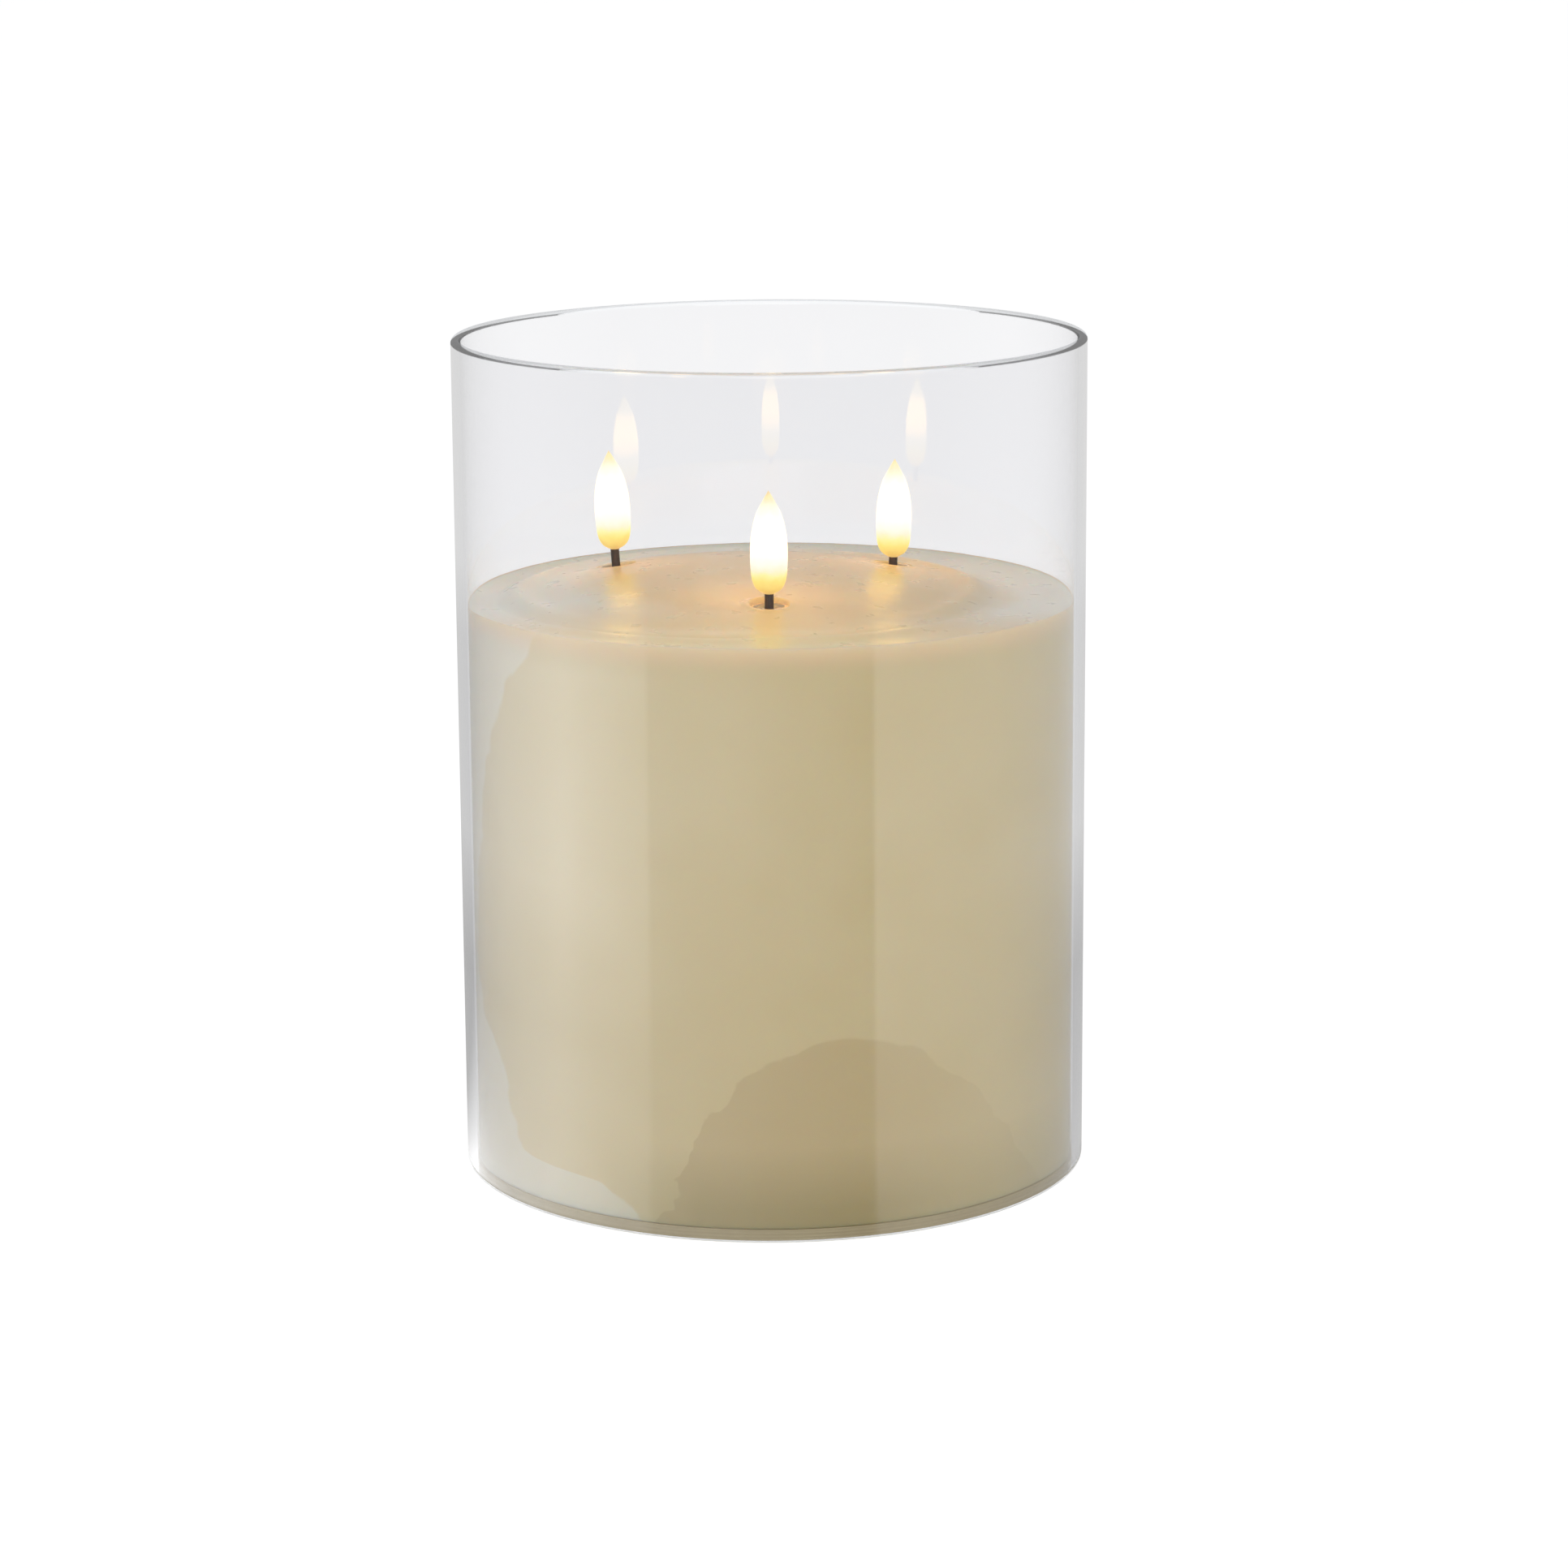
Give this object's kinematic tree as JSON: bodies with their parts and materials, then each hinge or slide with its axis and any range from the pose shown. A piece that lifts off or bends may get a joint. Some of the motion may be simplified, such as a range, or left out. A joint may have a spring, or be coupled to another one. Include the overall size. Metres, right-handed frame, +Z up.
{
  "type": "flameless led candle",
  "caption": "Cream wax pillar with flame-shaped LED lights on thin wicks, cast inside a clear open-topped glass cylinder, with a battery bay and slide switch in the base.",
  "frame": {"origin": "middle of the footprint, on the surface the candle stands on", "axes": "+Z up along the glass cylinder's axis; -Y towards the single front wick, +X to the viewer's right when facing it"},
  "size_m": [0.15, 0.15, 0.2],
  "materials": {
    "clear_glass": "polished, clear",
    "wax": "cream paraffin wax, satin, slightly translucent",
    "core_plastic": "moulded, matte",
    "base_plastic": "moulded, fine satin texture",
    "silicone": "translucent white silicone",
    "pad_rubber": "soft clear-grey silicone",
    "steel": "zinc-plated",
    "contact_metal": "nickel-plated spring steel",
    "cell_can": "plain dark wrap",
    "board": "green solder mask",
    "black_plastic": "moulded black",
    "red_wire": "PVC insulation",
    "twin_wire": "thin PVC insulation",
    "collar_plastic": "cream, semi-gloss",
    "wick_sleeve": "dark brown sleeve",
    "led": "clear epoxy, warm",
    "flame_shell": "frosted translucent, lit warm from inside"
  },
  "bodies": {
    "candle": {"glass_cylinder": "clear_glass", "wax_body": "wax", "core_housing": "core_plastic", "base_plate": "base_plastic", "base_seal": "silicone", "foot_pads": "pad_rubber", "base_screws": "steel", "board_screws": "steel", "cell_front": "cell_can", "cell_middle": "cell_can", "cell_back": "cell_can", "contact_positive": "contact_metal", "contact_negative": "contact_metal", "contact_bridge_right": "contact_metal", "contact_bridge_left": "contact_metal", "spring_front": "contact_metal", "spring_middle": "contact_metal", "spring_back": "contact_metal", "circuit_board": "board", "controller_chip": "black_plastic", "timer_crystal": "steel", "capacitor": "cell_can", "resistors": "black_plastic", "drive_transistors": "black_plastic", "switch_housing": "steel", "lead_positive": "red_wire", "lead_negative": "black_plastic", "collar_front": "collar_plastic", "wick_front": "wick_sleeve", "led_front": "led", "flame_front": "flame_shell", "wires_front": "twin_wire", "collar_left": "collar_plastic", "wick_left": "wick_sleeve", "led_left": "led", "flame_left": "flame_shell", "wires_left": "twin_wire", "collar_right": "collar_plastic", "wick_right": "wick_sleeve", "led_right": "led", "flame_right": "flame_shell", "wires_right": "twin_wire"},
    "door": {"battery_door": "base_plastic"},
    "switch": {"switch_slider": "black_plastic"}
  },
  "joints": [
    {"name": "door_hinge", "type": "hinge", "parent": "candle", "child": "door", "pos_m": [0, 0.0382, 0.0022], "axis": [1, 0, 0], "range_deg": [0, 95]},
    {"name": "switch_slide", "type": "slide", "parent": "candle", "child": "switch", "axis": [-1, 0, 0], "range_m": [0, 0.004]}
  ]
}
